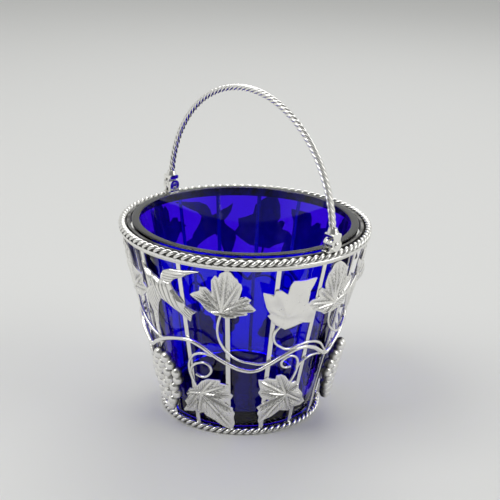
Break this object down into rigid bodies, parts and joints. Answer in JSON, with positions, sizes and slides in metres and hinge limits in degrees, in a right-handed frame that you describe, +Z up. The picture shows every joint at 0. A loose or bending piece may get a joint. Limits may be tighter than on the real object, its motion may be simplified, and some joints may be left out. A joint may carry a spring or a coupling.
{
  "type": "cream pail",
  "caption": "Openwork cream pail of silver wire and leaves with a swing bail handle and a lift-out blue glass liner.",
  "frame": {"origin": "middle of the foot ring on the table", "axes": "+Z up; X runs through both handle pivots; +Y completes the frame"},
  "size_m": [0.0918, 0.09, 0.1185],
  "materials": {
    "silver_wire": "polished silver wire and sheet",
    "silver_handle": "polished silver, twisted wire",
    "silver_ornament": "cast and chased silver, bright high spots and darker hollows",
    "cobalt_glass": "clear cobalt blue glass with a ground edge"
  },
  "bodies": {
    "basket": {"base_plate": "silver_wire", "bird_1": "silver_ornament", "bird_2": "silver_ornament", "bird_3": "silver_ornament", "foot_rope": "silver_wire", "grapes_1": "silver_ornament", "grapes_2": "silver_ornament", "grapes_3": "silver_ornament", "hinge_lug_left": "silver_wire", "hinge_lug_right": "silver_wire", "hinge_pin_left": "silver_wire", "hinge_pin_right": "silver_wire", "lower_leaf_1a": "silver_ornament", "lower_leaf_1b": "silver_ornament", "lower_leaf_2a": "silver_ornament", "lower_leaf_2b": "silver_ornament", "lower_leaf_3a": "silver_ornament", "lower_leaf_3b": "silver_ornament", "rim_band": "silver_wire", "rim_rope": "silver_wire", "rim_wire": "silver_wire", "stave_01": "silver_wire", "stave_02": "silver_wire", "stave_03": "silver_wire", "stave_04": "silver_wire", "stave_05": "silver_wire", "stave_06": "silver_wire", "stave_07": "silver_wire", "stave_08": "silver_wire", "stave_09": "silver_wire", "stave_10": "silver_wire", "stave_11": "silver_wire", "stave_12": "silver_wire", "stave_13": "silver_wire", "stave_14": "silver_wire", "stave_15": "silver_wire", "stave_16": "silver_wire", "upper_leaf_1a": "silver_ornament", "upper_leaf_1b": "silver_ornament", "upper_leaf_1c": "silver_ornament", "upper_leaf_2a": "silver_ornament", "upper_leaf_2b": "silver_ornament", "upper_leaf_2c": "silver_ornament", "upper_leaf_3a": "silver_ornament", "upper_leaf_3b": "silver_ornament", "upper_leaf_3c": "silver_ornament", "vine_1": "silver_ornament", "vine_2": "silver_ornament", "vine_3": "silver_ornament"},
    "bail": {"bail_wire": "silver_handle", "bail_yoke_left": "silver_handle", "bail_yoke_right": "silver_handle"},
    "liner": {"glass_liner": "cobalt_glass"}
  },
  "joints": [
    {"name": "handle_swing", "type": "hinge", "parent": "basket", "child": "bail", "pos_m": [0, 0, 0.0732], "axis": [1, 0, 0], "range_deg": [-90, 90]},
    {"name": "liner_lift", "type": "slide", "parent": "basket", "child": "liner", "axis": [0, 0, 1], "range_m": [0, 0.008]}
  ]
}
